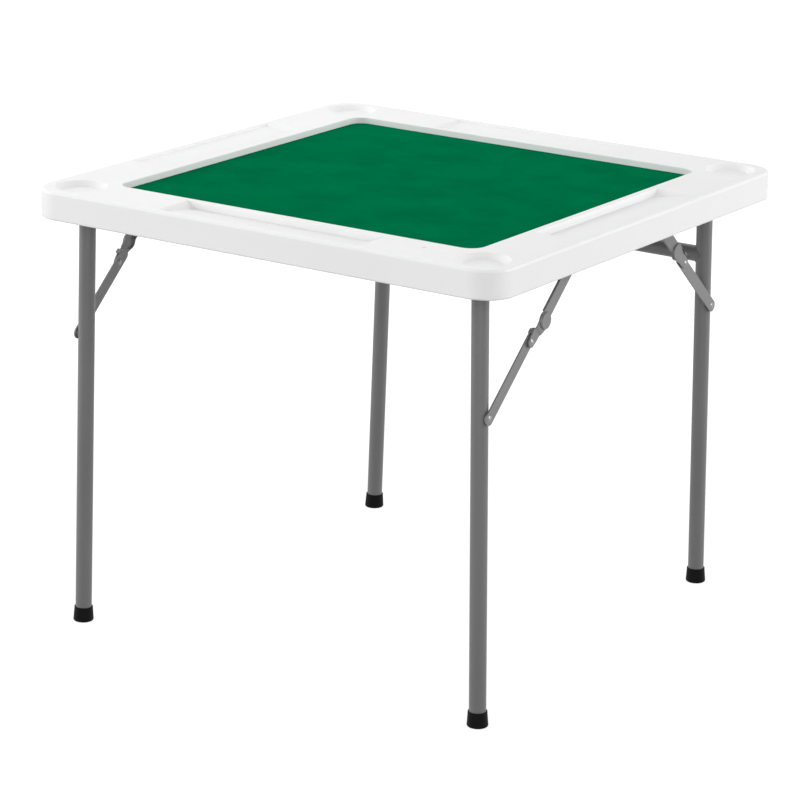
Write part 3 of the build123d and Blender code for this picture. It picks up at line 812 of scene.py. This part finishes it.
def seen_directly(tree):
    """1 where a camera, glossy or transmission ray looks, and 0 for the light that falls on the table."""
    path = tree.nodes.new("ShaderNodeLightPath")
    value = path.outputs["Is Camera Ray"]
    for output in ("Is Glossy Ray", "Is Transmission Ray"):
        larger = tree.nodes.new("ShaderNodeMath")
        larger.operation = "MAXIMUM"
        tree.links.new(value, larger.inputs[0])
        tree.links.new(path.outputs[output], larger.inputs[1])
        value = larger.outputs["Value"]
    return value


def between(tree, factor, low, high):
    """A number that is low where factor is 0 and high where it is 1."""
    mapped = tree.nodes.new("ShaderNodeMapRange")
    mapped.inputs["To Min"].default_value = low
    mapped.inputs["To Max"].default_value = high
    tree.links.new(factor, mapped.inputs["Value"])
    return mapped.outputs["Result"]


def studio_air(stage):
    """Even white light all round, which looks plain white where it is seen directly."""
    world = bpy.data.worlds.new("studio_air")
    world.use_nodes = True
    tree = world.node_tree
    air = tree.nodes["Background"]
    air.inputs["Color"].default_value = (1, 1, 1, 1)
    tree.links.new(between(tree, seen_directly(tree), stage.sky, 1), air.inputs["Strength"])
    return world


def floor_paper(stage):
    """Pale paper that keeps the table's shadow, glows white to the eye and is clear from below."""
    paper = bpy.data.materials.new("floor_paper")
    paper.use_nodes = True
    tree = paper.node_tree
    tree.nodes.remove(tree.nodes["Principled BSDF"])
    matt = tree.nodes.new("ShaderNodeBsdfDiffuse")
    matt.inputs["Color"].default_value = (*stage.floor, 1)
    place = tree.nodes.new("ShaderNodeTexCoord")
    far = tree.nodes.new("ShaderNodeVectorMath")
    far.operation = "LENGTH"
    tree.links.new(place.outputs["Object"], far.inputs[0])
    reach = tree.nodes.new("ShaderNodeMapRange")
    reach.inputs["From Min"].default_value = stage.glow_start
    reach.inputs["From Max"].default_value = stage.glow_end
    reach.inputs["To Min"].default_value = stage.floor_glow
    tree.links.new(far.outputs["Value"], reach.inputs["Value"])
    seen = tree.nodes.new("ShaderNodeMath")
    seen.operation = "MULTIPLY"
    tree.links.new(reach.outputs["Result"], seen.inputs[0])
    tree.links.new(seen_directly(tree), seen.inputs[1])
    glow = tree.nodes.new("ShaderNodeEmission")
    tree.links.new(seen.outputs["Value"], glow.inputs["Strength"])
    both = tree.nodes.new("ShaderNodeAddShader")
    tree.links.new(matt.outputs["BSDF"], both.inputs[0])
    tree.links.new(glow.outputs["Emission"], both.inputs[1])
    clear = tree.nodes.new("ShaderNodeBsdfTransparent")
    side = tree.nodes.new("ShaderNodeNewGeometry")
    chosen = tree.nodes.new("ShaderNodeMixShader")
    tree.links.new(side.outputs["Backfacing"], chosen.inputs["Fac"])
    tree.links.new(both.outputs["Shader"], chosen.inputs[1])
    tree.links.new(clear.outputs["BSDF"], chosen.inputs[2])
    tree.links.new(chosen.outputs["Shader"], tree.nodes["Material Output"].inputs["Surface"])
    return paper


def direction(turn, rise):
    """Unit vector at a turn round the table from the front and a rise above the floor."""
    return Vector((math.sin(turn) * math.cos(rise), -math.cos(turn) * math.cos(rise), math.sin(rise)))


def soft_box(name, turn, rise, distance, power, size):
    """A square soft box at a turn, rise and distance from the middle of the table, which it faces."""
    lamp = bpy.data.lights.new(name, "AREA")
    lamp.energy = power
    lamp.size = size
    thing = bpy.data.objects.new(name, lamp)
    thing.visible_camera = False
    bpy.context.scene.collection.objects.link(thing)
    centre = (CAD_BOX[0] + CAD_BOX[1]) / 2
    place = centre + distance * direction(math.radians(turn), math.radians(rise))
    thing.location = place
    thing.rotation_euler = (centre - place).to_track_quat("-Z", "Y").to_euler()


class CARDTABLE_OT_set_stage(bpy.types.Operator):
    """Lay the floor, hang the lamps and set the camera"""

    bl_idname = "cardtable.set_stage"
    bl_label = "Set the stage"

    def execute(self, context):
        stage = context.scene.card_table.stage
        context.scene.world = studio_air(stage)
        shape = bmesh.new()
        bmesh.ops.create_circle(shape, cap_ends=True, radius=stage.floor_radius, segments=stage.floor_sides)
        mesh = bpy.data.meshes.new("floor")
        shape.to_mesh(mesh)
        shape.free()
        mesh.materials.append(floor_paper(stage))
        ground = bpy.data.objects.new("floor", mesh)
        context.scene.collection.objects.link(ground)
        for name, turn, rise, distance, power in LAMPS:
            soft_box(name, turn, rise, distance, power, stage.lamp_size)
        self.set_camera(context, stage)
        context.scene.view_settings.view_transform = "Standard"
        return {"FINISHED"}

    def set_camera(self, context, stage):
        """Stand the camera where the picture was taken from."""
        lens = bpy.data.cameras.new("camera")
        lens.lens = stage.lens
        camera = bpy.data.objects.new("camera", lens)
        context.scene.collection.objects.link(camera)
        turn, roll = stage.azimuth, stage.roll
        back = direction(turn, stage.elevation)
        right = Vector((math.cos(turn), math.sin(turn), 0))
        up = back.cross(right)
        target = Vector(stage.look_at) + stage.slide[0] * right + stage.slide[1] * up
        rolled_right = math.cos(roll) * right + math.sin(roll) * up
        rolled_up = math.cos(roll) * up - math.sin(roll) * right
        camera.matrix_world = Matrix.Translation(target + stage.distance * back) @ Matrix(
            (rolled_right, rolled_up, back)
        ).transposed().to_4x4()
        context.scene.camera = camera


class CARDTABLE_PT_panel(bpy.types.Panel):
    """Sidebar list of the card table's settings and steps"""

    bl_idname = "CARDTABLE_PT_panel"
    bl_label = "Card table"
    bl_space_type = "VIEW_3D"
    bl_region_type = "UI"
    bl_category = "Card table"

    def draw(self, context):
        settings = context.scene.card_table
        for group in GROUPS:
            box = self.layout.box()
            box.label(text=group.capitalize())
            values = getattr(settings, group)
            for key in values.bl_rna.properties.keys():
                if key not in ("rna_type", "name"):
                    box.prop(values, key)
        for step in STEPS:
            self.layout.operator(step.bl_idname)


STEPS = (
    CARDTABLE_OT_finish_top,
    CARDTABLE_OT_lay_felt,
    CARDTABLE_OT_finish_frames,
    CARDTABLE_OT_finish_braces,
    CARDTABLE_OT_finish_rails,
    CARDTABLE_OT_finish_fasteners,
    CARDTABLE_OT_run_welds,
    CARDTABLE_OT_finish_feet,
    CARDTABLE_OT_set_stage,
)
CLASSES = (*GROUPS.values(), CardTableSettings, *STEPS, CARDTABLE_PT_panel)


def register():
    """Register the classes and the scene's settings."""
    for kind in CLASSES:
        bpy.utils.register_class(kind)
    bpy.types.Scene.card_table = PointerProperty(
        type=CardTableSettings, name="Card table", description="Settings of the card table"
    )


def unregister():
    """Take the classes and the scene's settings away again."""
    del bpy.types.Scene.card_table
    for kind in reversed(CLASSES):
        bpy.utils.unregister_class(kind)


def main():
    """Dress the table."""
    register()
    for step in STEPS:
        group, name = step.bl_idname.split(".")
        getattr(getattr(bpy.ops, group), name)()


if __name__ == "__main__":
    main()
